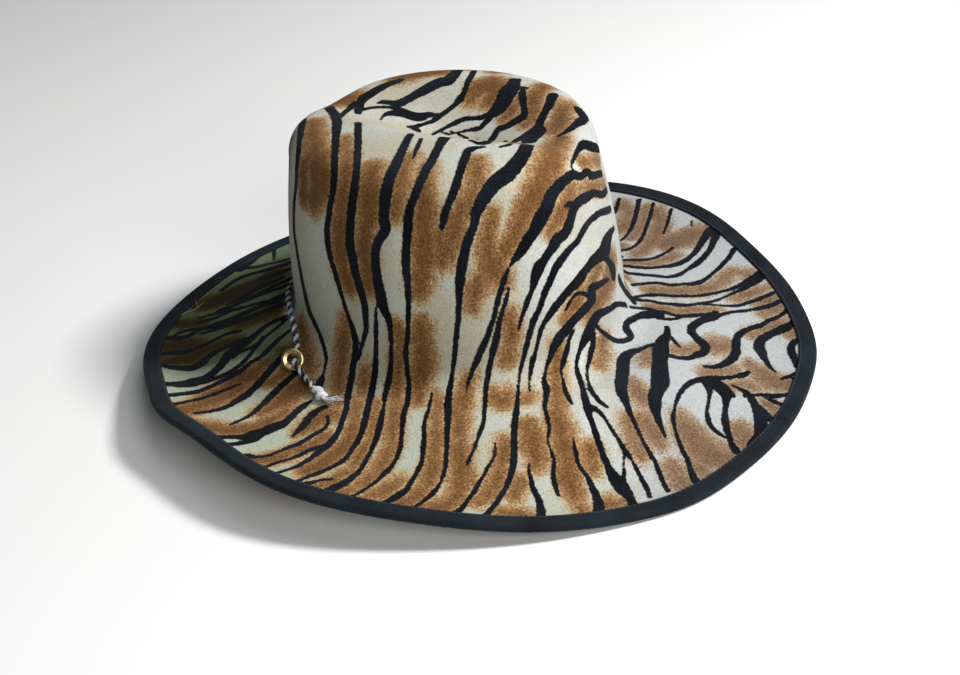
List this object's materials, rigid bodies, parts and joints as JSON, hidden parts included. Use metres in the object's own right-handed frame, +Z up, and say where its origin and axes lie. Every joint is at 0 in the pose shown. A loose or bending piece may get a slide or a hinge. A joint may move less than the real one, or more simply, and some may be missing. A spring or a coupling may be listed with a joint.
{
  "type": "wide-brimmed animal print hat",
  "caption": "Soft plush hat with a dented hollow crown, a wide brim turned up at its sides, a bound edge, and a twisted cord with a ring and a knot.",
  "frame": {"origin": "centre of the bounding box at its base, the plane that the hat rests on", "axes": "+Z up through the crown, -Y towards the front of the hat, +Y along the brim's length, X across it"},
  "size_m": [0.3619, 0.389, 0.1415],
  "materials": {
    "printed_plush": "short-pile plush with a printed tiger stripe",
    "binding_tape": "ribbed dark tape",
    "twisted_cord": "two-colour twisted yarn",
    "brass": "polished",
    "knot_yarn": "pale yarn, frayed at the tip"
  },
  "bodies": {
    "root": {"crown_and_brim": "printed_plush", "brim_binding": "binding_tape", "cord": "twisted_cord", "eyelet_ring": "brass", "cord_knot": "knot_yarn"}
  },
  "joints": []
}
